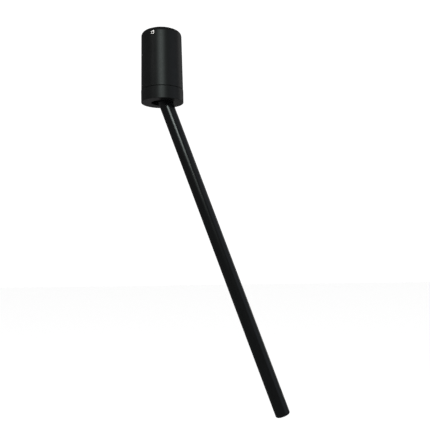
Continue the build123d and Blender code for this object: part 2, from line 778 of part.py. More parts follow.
def lock_screw_space():
    """The tapped hole of one lock screw, along +X from the tube's surface inwards."""
    hole = Rot(0, 90, 0) * rod(lock_screw_diameter / 2, tube_radius - lock_screw_length, tube_radius + over)
    return Pos(0, 0, tube_top - lock_screw_offset) * hole


def lock_screws():
    """Two flush screws that lock the knuckle in the tube, hidden inside the collar's opening."""
    outer = tube_radius - lock_screw_recess
    shape = rod(lock_screw_diameter / 2, tube_radius - lock_screw_length, outer)
    shape -= Pos(0, 0, outer - lock_socket_depth) * hexagon(lock_socket, lock_socket_depth + over)
    shape = Pos(0, 0, tube_top - lock_screw_offset) * (Rot(0, 90, 0) * shape)
    return group(Rot(0, 0, turn) * shape for turn in (0, 180))


def knuckle_grommet():
    """Rubber sleeve that grips the cable in the knuckle's bore."""
    low = tube_top - plug_length
    fit = assembly_clearance / 2
    return ring(cable_radius + knuckle_bore_clearance - fit, cable_radius + fit,
                low, low + knuckle_grommet_length)


def light_tube():
    """Long aluminium tube from the knuckle's shoulder to the end bezel."""
    tube = ring(tube_radius, tube_bore_radius, bezel_top, tube_top)
    for turn in (0, 180):
        tube -= Rot(0, 0, turn) * lock_screw_space()
    return tube


def tube_cable():
    """Cable down the tube, rounded at the pivot where it bends with the joint."""
    return rod(cable_radius, led_board_top + cable_end_gap, 0) + Sphere(cable_radius)


def heat_sink():
    """Grooved aluminium slug behind the LED board, with a cable bore."""
    top = led_board_top + heat_sink_length
    radius = tube_bore_radius - assembly_clearance
    slug = ring(radius, cable_radius + heat_sink_bore_clearance, led_board_top, top)
    pitch = heat_sink_length / (heat_sink_grooves + 1)
    for i in range(heat_sink_grooves):
        middle = led_board_top + pitch * (i + 1)
        slug -= ring(radius + over, radius - heat_sink_groove_depth,
                     middle - heat_sink_groove_width / 2, middle + heat_sink_groove_width / 2)
    for side in (-1, 1):
        slug -= Pos(side * board_screw_place, 0, 0) * rod(
            board_screw_diameter / 2, led_board_top - over, led_board_top + board_screw_bite)
    return slug


def led_board():
    """Round metal-core board under the slug."""
    board = rod(tube_bore_radius - 2 * assembly_clearance, led_board_bottom, led_board_top)
    for side in (-1, 1):
        board -= Pos(side * board_screw_place, 0, 0) * rod(
            board_screw_diameter / 2, led_board_bottom - over, led_board_top + over)
    return board


def board_screws():
    """Two small screws that clamp the LED board to the slug."""
    shape = Rot(180, 0, 0) * screw(board_screw_diameter, led_board_thickness + board_screw_bite)
    return group(Pos(side * board_screw_place, 0, led_board_bottom) * shape for side in (-1, 1))


def led_chip():
    """Square LED emitter in the middle of the board."""
    half = led_size / 2
    return block((-half, half), (-half, half), (led_board_bottom - led_height, led_board_bottom))


def lens_holder():
    """Plastic spacer ring between the bezel's spigot and the LED board."""
    return ring(tube_bore_radius - assembly_clearance, bezel_bore_radius + 2 * assembly_clearance,
                holder_bottom, led_board_bottom)


def lens():
    """Conical collimator lens with a socket over the LED."""
    rim_top = lens_bottom + lens_rim_height
    body = rod(lens_radius, lens_bottom, rim_top)
    body += cone(lens_radius, lens_radius * lens_taper, rim_top, lens_top)
    return body - rod(lens_socket_diameter / 2, lens_top - lens_socket_depth, lens_top + over)


def front_glass():
    """Clear cover glass inside the bezel."""
    return rod(bezel_bore_radius - assembly_clearance, glass_bottom, glass_top)


def glass_seal():
    """Thin rubber ring between the bezel's lip and the glass."""
    return ring(bezel_bore_radius - assembly_clearance, aperture_radius,
                lamp_face + bezel_lip, glass_bottom)


def end_bezel():
    """Rounded end cap with the lamp's aperture and a spigot into the tube."""
    body = rod(tube_radius, lamp_face, bezel_top)
    body = fillet(body.edges().sort_by(Axis.Z)[0], bezel_outer_radius)
    body += rod(plug_radius, bezel_top, holder_bottom)
    body -= rod(bezel_bore_radius, lamp_face + bezel_lip, holder_bottom + over)
    return body - rod(aperture_radius, lamp_face - over, lamp_face + bezel_lip + over)


# ---- write every piece --------------------------------------------------------------------------

fixed_pieces = [
    ceiling_gasket, mounting_plate, inlet_grommet, earth_screw, earth_lug, earth_lead,
    canopy_body, canopy_grub_screws,
    driver_bracket, bracket_screws, driver_screws, driver_case, driver_lid, driver_lid_screws,
    driver_board, driver_transformer, driver_capacitor, terminal_block, terminal_screws,
    driver_input_leads, driver_output_cable, cable_grommet,
    swivel_bush, swivel_seal, swivel_stop_pin,
]
swivel_pieces = [
    yoke, thrust_washer, spring_washer, stem_nut, swivel_collar, collar_screws,
    stem_cable, pivot_screws, friction_washers,
]
tube_pieces = [
    knuckle, lock_screws, knuckle_grommet, light_tube, tube_cable, heat_sink, led_board,
    board_screws, led_chip, lens_holder, lens, front_glass, glass_seal, end_bezel,
]

for make in fixed_pieces + swivel_pieces:
    export_step(make(), f"parts/{make.__name__}.step")
for make in tube_pieces:
    export_step(on_tube(make()), f"parts/{make.__name__}.step")
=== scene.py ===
# Adjustable ceiling tube light: canopy, swivelling collar and tilting tube, hung over a pale floor.
import json
import math
import bmesh
import bpy
from mathutils import Matrix, Vector


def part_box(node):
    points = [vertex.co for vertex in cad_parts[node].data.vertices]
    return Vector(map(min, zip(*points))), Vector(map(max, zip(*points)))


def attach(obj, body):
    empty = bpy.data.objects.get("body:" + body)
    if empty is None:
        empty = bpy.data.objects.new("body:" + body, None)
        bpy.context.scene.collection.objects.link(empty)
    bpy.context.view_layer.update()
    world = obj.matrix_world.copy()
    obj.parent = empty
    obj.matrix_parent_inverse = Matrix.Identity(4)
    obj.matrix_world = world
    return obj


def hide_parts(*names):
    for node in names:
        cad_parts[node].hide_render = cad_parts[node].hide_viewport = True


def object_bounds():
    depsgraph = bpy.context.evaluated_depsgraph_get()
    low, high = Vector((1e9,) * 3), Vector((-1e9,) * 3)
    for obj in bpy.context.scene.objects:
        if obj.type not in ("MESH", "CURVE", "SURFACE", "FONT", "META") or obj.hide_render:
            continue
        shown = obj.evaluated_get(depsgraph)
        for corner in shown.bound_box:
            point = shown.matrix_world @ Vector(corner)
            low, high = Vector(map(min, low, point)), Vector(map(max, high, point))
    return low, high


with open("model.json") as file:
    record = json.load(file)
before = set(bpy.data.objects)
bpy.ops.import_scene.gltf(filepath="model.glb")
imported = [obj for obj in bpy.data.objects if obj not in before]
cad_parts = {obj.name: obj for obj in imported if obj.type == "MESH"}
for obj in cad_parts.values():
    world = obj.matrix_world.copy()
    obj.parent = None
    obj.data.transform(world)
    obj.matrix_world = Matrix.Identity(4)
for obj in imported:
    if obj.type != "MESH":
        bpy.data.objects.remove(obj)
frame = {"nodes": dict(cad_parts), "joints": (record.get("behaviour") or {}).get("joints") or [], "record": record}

cad_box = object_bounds()
nodes = frame["nodes"]

# ---- Studio -------------------------------------------------------------------------------------
# The light hangs free, as it does from a pergola beam, over a pale studio floor. The surround is
# plain white, but reflections see it as a dim grey, as in a studio hung with dark cloth, so the
# black finishes show the soft boxes and stay black between them.
surround_brightness = 1.08
reflected_brightness = 0.09
world = bpy.data.worlds.new("studio_surround")
world.use_nodes = True
surround = world.node_tree.nodes["Background"]
surround.inputs["Color"].default_value = (1.0, 1.0, 1.0, 1.0)
ray = world.node_tree.nodes.new("ShaderNodeLightPath")
dimmer = world.node_tree.nodes.new("ShaderNodeMapRange")
dimmer.inputs["To Min"].default_value = surround_brightness
dimmer.inputs["To Max"].default_value = reflected_brightness
world.node_tree.links.new(ray.outputs["Is Glossy Ray"], dimmer.inputs["Value"])
world.node_tree.links.new(dimmer.outputs["Result"], surround.inputs["Strength"])
bpy.context.scene.world = world
bpy.context.scene.view_settings.view_transform = "Standard"

floor_drop = 0.35      # clear height under the tube's end
floor_size = 24.0
floor_mesh = bmesh.new()
bmesh.ops.create_grid(floor_mesh, x_segments=8, y_segments=8, size=floor_size / 2)
bmesh.ops.translate(floor_mesh, verts=floor_mesh.verts[:], vec=(0, 0, cad_box[0][2] - floor_drop))
floor_data = bpy.data.meshes.new("studio_floor")
floor_mesh.to_mesh(floor_data)
floor_mesh.free()
studio_floor = bpy.data.objects.new("studio_floor", floor_data)
studio_floor.visible_glossy = False
studio_floor.visible_diffuse = False
bpy.context.scene.collection.objects.link(studio_floor)
floor_paint = bpy.data.materials.new("floor_paint")
floor_paint.use_nodes = True
floor_shader = floor_paint.node_tree.nodes["Principled BSDF"]
floor_shader.inputs["Base Color"].default_value = (0.98, 0.98, 0.98, 1)
floor_shader.inputs["Roughness"].default_value = 0.9
floor_data.materials.append(floor_paint)


def soft_box(name, azimuth, elevation, distance, width, height, brightness, colour=(1, 1, 1)):
    """A soft light aimed at the canopy from degrees round from the front and above the horizon."""
    target = Vector((0, 0, -0.06))      # the middle of the canopy
    turn, rise = math.radians(azimuth), math.radians(elevation)
    aim = Vector((math.sin(turn) * math.cos(rise), -math.cos(turn) * math.cos(rise), math.sin(rise)))
    lamp = bpy.data.lights.new(name, "AREA")
    lamp.shape = "RECTANGLE"
    lamp.size = width
    lamp.size_y = height
    lamp.energy = brightness * math.pi * width * height
    lamp.color = colour
    stand = bpy.data.objects.new(name, lamp)
    stand.location = target + distance * aim
    stand.rotation_euler = (-aim).to_track_quat("-Z", "Y").to_euler()
    stand.visible_camera = False
    bpy.context.scene.collection.objects.link(stand)


# The front box draws the long highlights; the spark lies where the visible grub screw mirrors it.
# The dim boxes give the right side, the back edges and the underside a soft grey.
soft_box("front_box", 9.5, 20.6, 2.0, 0.85, 0.26, 10.2, (0.88, 1.0, 0.96))
soft_box("grub_spark", -37.9, 22.1, 2.0, 0.12, 0.12, 11.0)
soft_box("right_fill", 78, 12, 2.0, 1.8, 1.8, 0.20, (0.88, 0.98, 1.14))
soft_box("back_edge", 135, 10, 2.2, 1.2, 1.8, 0.36)
soft_box("under_fill", 204, -22, 2.2, 2.0, 0.8, 0.085)

# ---- Camera -------------------------------------------------------------------------------------
# Eye level a little under the middle of the tube, close enough that the canopy's underside shows.
camera_data = bpy.data.cameras.new("studio_camera")
camera_data.sensor_fit = "VERTICAL"
camera_data.sensor_height = 24.0
camera_data.lens = 32.8
camera = bpy.data.objects.new("studio_camera", camera_data)
camera_place = Vector((0.2047, -0.8543, -0.3373))
camera_turn = math.radians(8.62)
camera_pitch = math.radians(3.66)
camera_roll = math.radians(1.16)
camera.matrix_world = (
    Matrix.Translation(camera_place)
    @ Matrix.Rotation(camera_turn, 4, "Z")
    @ Matrix.Rotation(math.pi / 2 + camera_pitch, 4, "X")
    @ Matrix.Rotation(-camera_roll, 4, "Z")
)
bpy.context.scene.collection.objects.link(camera)
bpy.context.scene.camera = camera

# ---- Canopy shell -------------------------------------------------------------------------------
# Turned aluminium can, powder coated satin black inside and out. A thick flange at the top takes
# the three grub screws; the floor carries the swivel bush, its seal and the stop pin.
MM = 0.001
canopy_low, canopy_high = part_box("canopy_body")
canopy_top = canopy_high.z
canopy_bottom = canopy_low.z
canopy_top_radius = 29.7 * MM
canopy_bottom_radius = 30.9 * MM
canopy_rim_radius = 6.5 * MM
canopy_edge = 0.5 * MM
fine_edge = 0.3 * MM
rim_steps = 14
crease_angle = math.radians(32)      # edges sharper than this stay crisp
canopy_bore = 26.8 * MM
canopy_floor = 4.0 * MM
skirt_depth = 11.4 * MM
flange_bore = 20.5 * MM
flange_depth = 15.0 * MM
bush_bore = 8.55 * MM
bush_seat_radius = 11.5 * MM
bush_seat_depth = 1.0 * MM
seal_groove = (13.0 * MM, 14.6 * MM)
seal_groove_depth = 1.3 * MM
floor_under = canopy_bottom + skirt_depth
floor_top = floor_under + canopy_floor
grub_radius = 3.0 * MM
grub_recess = 0.5 * MM
grub_drop = 8.8 * MM
grub_height = canopy_top - grub_drop
grub_azimuths = [math.radians(258 + 120 * i) for i in range(3)]
stop_pin_place = (0, 16.85 * MM)
stop_pin_radius = 1.0 * MM
stop_pin_seat_depth = 3.0 * MM
bracket_screw_places = [(side * 14.53 * MM, 0) for side in (-1, 1)]
bracket_screw_radius = 1.25 * MM
bracket_screw_depth = 2.0 * MM


def turned(outline, steps=160):
    """A ring turned about the Z axis from its closed outline of (radius, height) points."""
    shape = bmesh.new()
    corners = [shape.verts.new((radius, 0, height)) for radius, height in outline]
    for corner, following in zip(corners, corners[1:] + corners[:1]):
        shape.edges.new((corner, following))
    bmesh.ops.spin(
        shape, geom=shape.verts[:] + shape.edges[:], cent=(0, 0, 0), axis=(0, 0, 1),
        angle=2 * math.pi, steps=steps, use_merge=True)
    bmesh.ops.remove_doubles(shape, verts=shape.verts[:], dist=0.001 * MM)
    bmesh.ops.recalc_face_normals(shape, faces=shape.faces[:])
    return shape


def soften(shape, radius, height, width, segments=3):
    """Round the circular edge at a radius and height."""
    def on_edge(corner):
        return abs(corner.co.xy.length - radius) < 0.01 * MM and abs(corner.co.z - height) < 0.01 * MM
    rim = [edge for edge in shape.edges if all(on_edge(corner) for corner in edge.verts)]
    bmesh.ops.bevel(
        shape, geom=rim, offset=width, offset_type="OFFSET", affect="EDGES",
        segments=segments, profile=0.5, material=-1, clamp_overlap=True)


def piece(name, shape, material, slot, body, *stands_for):
    """Make a finished piece of a shape: smooth faces, crisp corners, its finish and its body.

    The even normals keep a long plain wall from taking a false tilt from the small edges round it.
    """
    data = bpy.data.meshes.new(name)
    shape.to_mesh(data)
    shape.free()
    data.shade_smooth()
    data.set_sharp_from_angle(angle=crease_angle)
    made = bpy.data.objects.new(name, data)
    bpy.context.scene.collection.objects.link(made)
    data.materials.append(material)
    even = made.modifiers.new("even_normals", "WEIGHTED_NORMAL")
    even.keep_sharp = True
    even.weight = 100
    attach(made, body)
    if stands_for:
        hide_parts(*stands_for)
    return made


def carve(made, tool_shape, operation="DIFFERENCE"):
    """Cut a piece with a closed shape, or weld the shape to it, for good."""
    tool_data = bpy.data.meshes.new("tool")
    tool_shape.to_mesh(tool_data)
    tool_shape.free()
    tool = bpy.data.objects.new("tool", tool_data)
    bpy.context.scene.collection.objects.link(tool)
    made.modifiers["even_normals"].show_viewport = False
    cut = made.modifiers.new("cut", "BOOLEAN")
    cut.object = tool
    cut.operation = operation
    cut.solver = "EXACT"
    bpy.context.view_layer.update()
    whole = made.evaluated_get(bpy.context.evaluated_depsgraph_get())
    result = bpy.data.meshes.new_from_object(whole)
    made.modifiers.remove(cut)
    made.modifiers["even_normals"].show_viewport = True
    old = made.data
    made.data = result
    result.name = made.name
    bpy.data.meshes.remove(old)
    bpy.data.objects.remove(tool)
    bpy.data.meshes.remove(tool_data)
    result.shade_smooth()
    result.set_sharp_from_angle(angle=crease_angle)


def bar(radius, low, high, place=(0, 0), segments=48):
    """A plain round bar standing at a place between two heights."""
    shape = bmesh.new()
    bmesh.ops.create_cone(
        shape, cap_ends=True, segments=segments, radius1=radius, radius2=radius, depth=high - low,
        matrix=Matrix.Translation((*place, (low + high) / 2)))
    return shape


def finish(name, colour, roughness, metallic=0.0):
    """A new material with its plain settings; returns it with its tree, shader and coordinates."""
    material = bpy.data.materials.new(name)
    material.use_nodes = True
    tree = material.node_tree
    shader = tree.nodes["Principled BSDF"]
    shader.inputs["Base Color"].default_value = (*colour, 1)
    shader.inputs["Roughness"].default_value = roughness
    shader.inputs["Metallic"].default_value = metallic
    place = tree.nodes.new("ShaderNodeTexCoord")
    return material, tree, shader, place


def mottle(tree, place, size, detail=2.0, stretch=(1, 1, 1), turn=(0, 0, 0)):
    """Noise whose marks are about a given size in metres, stretched and turned as asked."""
    mapping = tree.nodes.new("ShaderNodeMapping")
    mapping.vector_type = "TEXTURE"
    mapping.inputs["Rotation"].default_value = turn
    mapping.inputs["Scale"].default_value = stretch
    noise = tree.nodes.new("ShaderNodeTexNoise")
    noise.inputs["Scale"].default_value = 1 / size
    noise.inputs["Detail"].default_value = detail
    tree.links.new(place.outputs["Object"], mapping.inputs["Vector"])
    tree.links.new(mapping.outputs["Vector"], noise.inputs["Vector"])
    return noise.outputs["Fac"]


def vary(tree, shader, socket, source, low, high):
    """Drive a plain number of the shader between two limits from a pattern."""
    limits = tree.nodes.new("ShaderNodeMapRange")
    limits.inputs["From Min"].default_value = 0.3
    limits.inputs["From Max"].default_value = 0.7
    limits.inputs["To Min"].default_value = low
    limits.inputs["To Max"].default_value = high
    tree.links.new(source, limits.inputs["Value"])
    tree.links.new(limits.outputs["Result"], shader.inputs[socket])


def tint(tree, shader, source, dark, light, low=0.35, high=0.65):
    """Blend the base colour between two colours from a pattern."""
    ramp = tree.nodes.new("ShaderNodeValToRGB")
    ramp.color_ramp.elements[0].position = low
    ramp.color_ramp.elements[0].color = (*dark, 1)
    ramp.color_ramp.elements[1].position = high
    ramp.color_ramp.elements[1].color = (*light, 1)
    tree.links.new(source, ramp.inputs["Fac"])
    tree.links.new(ramp.outputs["Color"], shader.inputs["Base Color"])


def relief(tree, shader, source, depth, strength=1.0):
    """Add bump of a given depth in metres, on top of any the shader has."""
    bump = tree.nodes.new("ShaderNodeBump")
    bump.inputs["Distance"].default_value = depth
    bump.inputs["Strength"].default_value = strength
    under = shader.inputs["Normal"]
    if under.is_linked:
        tree.links.new(under.links[0].from_socket, bump.inputs["Normal"])
    tree.links.new(source, bump.inputs["Height"])
    tree.links.new(bump.outputs["Normal"], under)


def powder_coat():
    """Satin black powder coat: fine orange peel, faint clouding of the sheen, a little dust."""
    material, tree, shader, place = finish("satin_black_powder_coat", (0.0036, 0.0044, 0.0044), 0.4)
    shader.inputs["Specular IOR Level"].default_value = 0.5
    peel = mottle(tree, place, 0.9 * MM, 3.0)
    speck = mottle(tree, place, 0.16 * MM, 1.0)
    cloud = mottle(tree, place, 14 * MM, 2.0)
    tint(tree, shader, cloud, (0.0030, 0.0038, 0.0038), (0.0042, 0.0050, 0.0050))
    vary(tree, shader, "Roughness", peel, 0.36, 0.44)
    relief(tree, shader, peel, 0.012 * MM)
    relief(tree, shader, speck, 0.004 * MM)
    return material


satin_black = powder_coat()
shell = turned([
    (canopy_bottom_radius, canopy_bottom), (canopy_top_radius, canopy_top),
    (flange_bore, canopy_top), (flange_bore, canopy_top - flange_depth),
    (canopy_bore, canopy_top - flange_depth), (canopy_bore, floor_top),
    (bush_bore, floor_top), (bush_bore, floor_under + bush_seat_depth),
    (bush_seat_radius, floor_under + bush_seat_depth), (bush_seat_radius, floor_under),
    (seal_groove[0], floor_under), (seal_groove[0], floor_under + seal_groove_depth),
    (seal_groove[1], floor_under + seal_groove_depth), (seal_groove[1], floor_under),
    (canopy_bore, floor_under), (canopy_bore, canopy_bottom)])
soften(shell, canopy_top_radius, canopy_top, canopy_rim_radius, rim_steps)
soften(shell, canopy_bottom_radius, canopy_bottom, canopy_edge, 3)
soften(shell, canopy_bore, canopy_bottom, fine_edge, 2)
soften(shell, flange_bore, canopy_top, fine_edge, 2)
canopy_shell = piece("canopy_shell", shell, satin_black, "satin_black", "canopy", "canopy_body")

wall_radius = canopy_bottom_radius + (canopy_top_radius - canopy_bottom_radius) * (
    (grub_height - canopy_bottom) / (canopy_top - canopy_bottom))
seat_radius = wall_radius - grub_recess
past = 1 * MM          # how far a cutting shape runs past what it cuts


def outward(azimuth):
    """The turn that lays a shape standing on the Z axis out along an azimuth at the grub screws."""
    return Matrix.Translation((0, 0, grub_height)) @ Matrix.Rotation(azimuth, 4, "Z") @ Matrix.Rotation(
        math.pi / 2, 4, "Y")


for azimuth in grub_azimuths:
    hole = turned([
        (0, flange_bore - past), (grub_radius, flange_bore - past), (grub_radius, seat_radius),
        (grub_radius + grub_recess + past, wall_radius + past), (0, wall_radius + past)], 48)
    bmesh.ops.transform(hole, matrix=outward(azimuth), verts=hole.verts[:])
    carve(canopy_shell, hole)
carve(canopy_shell, bar(
    stop_pin_radius, floor_under - past, floor_under + stop_pin_seat_depth, stop_pin_place, 24))
for place in bracket_screw_places:
    carve(canopy_shell, bar(
        bracket_screw_radius, floor_top - bracket_screw_depth, floor_top + past, place, 24))

# ---- Grub screws --------------------------------------------------------------------------------
# Three stainless M6 socket grub screws, with a faced and chamfered end, a hexagon socket, and a
# cone point that bites the ceiling plate's rim.
grub_tip = 19.7 * MM
grub_point = 1.2 * MM
grub_end_chamfer = 0.35 * MM
socket_across_flats = 3.0 * MM
socket_radius = socket_across_flats / math.sqrt(3)
socket_depth = 3.5 * MM


def stainless_steel():
    """Bright stainless with fine turning marks and small changes of polish."""
    material, tree, shader, place = finish("bright_stainless", (0.72, 0.71, 0.69), 0.24, 1.0)
    vary(tree, shader, "Roughness", mottle(tree, place, 0.8 * MM, 3.0), 0.20, 0.30)
    relief(tree, shader, mottle(tree, place, 0.12 * MM, 1.0), 0.002 * MM)
    return material


def repeated(made, azimuths):
    """Turn a piece's one shape from the first azimuth to all of them, about the Z axis."""
    shape = bmesh.new()
    shape.from_mesh(made.data)
    first = shape.verts[:] + shape.edges[:] + shape.faces[:]
    for azimuth in azimuths[1:]:
        copy = bmesh.ops.duplicate(shape, geom=first)["geom"]
        corners = [part for part in copy if isinstance(part, bmesh.types.BMVert)]
        bmesh.ops.rotate(
            shape, verts=corners, cent=(0, 0, 0), matrix=Matrix.Rotation(azimuth - azimuths[0], 3, "Z"))
    shape.to_mesh(made.data)
    shape.free()


stainless = stainless_steel()
screw_shape = turned([
    (0, grub_tip), (grub_radius - grub_point, grub_tip), (grub_radius, grub_tip + grub_point),
    (grub_radius, seat_radius - grub_end_chamfer), (grub_radius - grub_end_chamfer, seat_radius),
    (0, seat_radius)], 48)
bmesh.ops.transform(screw_shape, matrix=outward(grub_azimuths[0]), verts=screw_shape.verts[:])
grub_screws = piece("grub_screws", screw_shape, stainless, "stainless", "canopy", "canopy_grub_screws")
socket = bar(socket_radius, seat_radius - socket_depth, seat_radius + past, segments=6)
bmesh.ops.transform(socket, matrix=outward(grub_azimuths[0]), verts=socket.verts[:])
carve(grub_screws, socket)
repeated(grub_screws, grub_azimuths)

# ---- Swivel collar ------------------------------------------------------------------------------
# Lower ring, turned from the same bar as the canopy and coated with it. Its spigot runs inside the
# canopy's skirt, and the round opening in its underside limits how far the tube can lean.
collar_low, collar_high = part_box("swivel_collar")
collar_radius = collar_high.x
collar_bottom = collar_low.z
running_seam = 0.4 * MM
collar_top = canopy_bottom - running_seam
collar_edge = 0.5 * MM
spigot_radius = 26.4 * MM
collar_bore = 24.0 * MM
collar_floor = 4.0 * MM
pivot = Vector(next(joint["pos_m"] for joint in frame["joints"] if joint["name"] == "tube_tilt"))
lamp_low, lamp_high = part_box("led_chip")
lamp_place = (lamp_low + lamp_high) / 2
lean = math.atan2(lamp_place.x - pivot.x, pivot.z - lamp_place.z)
tube_radius = 10.4 * MM
rim_clearance = 0.4 * MM
opening_radius = (
    (pivot.z - collar_bottom) * math.tan(lean) + tube_radius / math.cos(lean) + rim_clearance)
boss_circle = 21.5 * MM
boss_bite = 0.5 * MM         # how far each boss runs into the ring's floor
boss_radius = 3.5 * MM
boss_azimuths = [math.radians(60 + 120 * i) for i in range(3)]
boss_places = [(boss_circle * math.cos(turn), boss_circle * math.sin(turn)) for turn in boss_azimuths]
boss_hole_radius = 1.5 * MM
boss_hole_depth = 9.0 * MM

ring = turned([
    (collar_radius, collar_bottom), (collar_radius, collar_top), (spigot_radius, collar_top),
    (spigot_radius, collar_high.z), (collar_bore, collar_high.z),
    (collar_bore, collar_bottom + collar_floor), (opening_radius, collar_bottom + collar_floor),
    (opening_radius, collar_bottom)])
soften(ring, collar_radius, collar_top, collar_edge, 3)
soften(ring, collar_radius, collar_bottom, collar_edge, 4)
soften(ring, opening_radius, collar_bottom, collar_edge, 3)
collar = piece("collar_ring", ring, satin_black, "satin_black", "swivel", "swivel_collar")
for place in boss_places:
    carve(collar, bar(
        boss_radius, collar_bottom + collar_floor - boss_bite, collar_high.z, place), "UNION")
for place in boss_places:
    carve(collar, bar(
        boss_hole_radius, collar_high.z - boss_hole_depth, collar_high.z + past, place, 32))

# ---- Light tube ---------------------------------------------------------------------------------
# Drawn aluminium tube with a smoother, glossier black anodised skin. Drawing leaves very fine
# lines along it. Two flush screws near its top lock it to the knuckle.
tube_bore = 8.9 * MM
tube_top_drop = 8.6 * MM     # from the tilt pivot
lamp_reach = 494.0 * MM
bezel_height = 6.0 * MM
tube_end = bezel_height - lamp_reach     # heights along the tube are from the tilt pivot
tube_place = Matrix.Translation(pivot) @ Matrix.Rotation(-lean, 4, "Y")
lock_screw_radius = 1.5 * MM
lock_screw_drop = 3.0 * MM   # from the tube's top


def anodised_skin():
    """Semi-gloss black anodising over fine lengthwise draw lines, with faint handling marks."""
    material, tree, shader, place = finish("anodised_black_tube", (0.0026, 0.0031, 0.0033), 0.23)
    shader.inputs["Specular IOR Level"].default_value = 0.55
    along = (0, -lean, 0)
    lines = mottle(tree, place, 0.35 * MM, 2.0, stretch=(1, 1, 180), turn=along)
    cloud = mottle(tree, place, 9 * MM, 2.0, stretch=(1, 1, 4), turn=along)
    smear = mottle(tree, place, 40 * MM, 3.0)
    tint(tree, shader, cloud, (0.0021, 0.0026, 0.0028), (0.0031, 0.0036, 0.0038))
    vary(tree, shader, "Roughness", smear, 0.20, 0.26)
    relief(tree, shader, lines, 0.0025 * MM)
    return material


anodised = anodised_skin()
pipe = turned([
    (tube_radius, tube_end), (tube_radius, -tube_top_drop),
    (tube_bore, -tube_top_drop), (tube_bore, tube_end)])
soften(pipe, tube_radius, -tube_top_drop, fine_edge, 2)
bmesh.ops.transform(pipe, matrix=tube_place, verts=pipe.verts[:])
tube = piece("black_tube", pipe, anodised, "gloss_black_tube", "tube", "light_tube")
for side in (0, math.pi):
    lock_hole = bar(lock_screw_radius, tube_bore - past, tube_radius + past, segments=32)
    across = tube_place @ Matrix.Translation(
        (0, 0, -tube_top_drop - lock_screw_drop)) @ Matrix.Rotation(side, 4, "Z")
    bmesh.ops.transform(
        lock_hole, matrix=across @ Matrix.Rotation(math.pi / 2, 4, "Y"), verts=lock_hole.verts[:])
    carve(tube, lock_hole)

# ---- End bezel and cover glass ------------------------------------------------------------------
# The tube's rounded end is a turned bezel pushed in on a spigot. It frames a clear cover glass on a
# thin rubber ring, with the collimator lens just behind it.
bezel_round = 3.2 * MM
bezel_lip = 2.0 * MM
bezel_bore = 7.6 * MM
aperture = 6.5 * MM
aperture_edge = 0.4 * MM
spigot_length = 5.0 * MM
bezel_spigot_radius = 8.85 * MM
glass_radius = 7.5 * MM
glass_edge = 0.25 * MM
glass_thickness = 1.6 * MM
seal_thickness = 0.6 * MM
glass_low = bezel_lip + seal_thickness - lamp_reach
glass_high = glass_low + glass_thickness
cap = turned([
    (tube_radius, -lamp_reach), (tube_radius, tube_end),
    (bezel_spigot_radius, tube_end), (bezel_spigot_radius, tube_end + spigot_length),
    (bezel_bore, tube_end + spigot_length), (bezel_bore, bezel_lip - lamp_reach),
    (aperture, bezel_lip - lamp_reach), (aperture, -lamp_reach)])
soften(cap, tube_radius, -lamp_reach, bezel_round, 10)
soften(cap, aperture, -lamp_reach, aperture_edge, 3)
bmesh.ops.transform(cap, matrix=tube_place, verts=cap.verts[:])
piece("rounded_end_bezel", cap, anodised, "gloss_black_tube", "tube", "end_bezel")


def clear_glass():
    """Toughened clear glass with the faintest green and a few soft wipe marks."""
    material, tree, shader, place = finish("toughened_glass", (0.93, 0.97, 0.95), 0.03)
    shader.inputs["Transmission Weight"].default_value = 1.0
    shader.inputs["IOR"].default_value = 1.5
    vary(tree, shader, "Roughness", mottle(tree, place, 4 * MM, 3.0, stretch=(1, 5, 1)), 0.02, 0.07)
    return material


disc = bmesh.new()
bmesh.ops.create_cone(
    disc, cap_ends=True, segments=96, radius1=glass_radius, radius2=glass_radius,
    depth=glass_thickness, matrix=Matrix.Translation((0, 0, (glass_low + glass_high) / 2)))
for height in (glass_low, glass_high):
    soften(disc, glass_radius, height, glass_edge, 2)
bmesh.ops.transform(disc, matrix=tube_place, verts=disc.verts[:])
glass = clear_glass()
piece("cover_glass", disc, glass, "clear", "tube", "front_glass")

# ---- Joints' turned pieces ----------------------------------------------------------------------
# What shows through the collar's opening and round the pivots: the bare turned yoke, the coated
# knuckle, their shoulder screws and washers, and the lamp's lens, as smooth turned surfaces.


def smooth_copy(node, name, material, slot, body):
    """A node's own shape with its facets joined, so that it shades as the turned piece it is."""
    shape = bmesh.new()
    shape.from_mesh(nodes[node].data)
    bmesh.ops.remove_doubles(shape, verts=shape.verts[:], dist=0.0005 * MM)
    bmesh.ops.dissolve_limit(
        shape, angle_limit=math.radians(0.5), use_dissolve_boundaries=False,
        verts=shape.verts[:], edges=shape.edges[:])
    return piece(name, shape, material, slot, body, node)


def turned_aluminium():
    """Bare machined aluminium with fine tool lines round its axis."""
    material, tree, shader, place = finish("turned_aluminium", (0.74, 0.75, 0.76), 0.34, 1.0)
    vary(tree, shader, "Roughness", mottle(tree, place, 0.5 * MM, 2.0, stretch=(8, 8, 1)), 0.26, 0.42)
    relief(tree, shader, mottle(tree, place, 0.2 * MM, 1.0, stretch=(10, 10, 1)), 0.006 * MM)
    return material


def moulded_plastic(name, colour, gloss, sink=0.0):
    """Injection-moulded plastic with a fine spark-eroded grain."""
    material, tree, shader, place = finish(name, colour, gloss)
    shader.inputs["Subsurface Weight"].default_value = sink
    shader.inputs["Subsurface Radius"].default_value = (0.8 * MM, 0.8 * MM, 0.8 * MM)
    cloud = mottle(tree, place, 6 * MM, 2.0)
    tint(tree, shader, cloud, [c * 0.93 for c in colour], [min(1.0, c * 1.05) for c in colour])
    vary(tree, shader, "Roughness", cloud, gloss - 0.05, gloss + 0.06)
    relief(tree, shader, mottle(tree, place, 0.15 * MM, 1.0), 0.006 * MM)
    return material


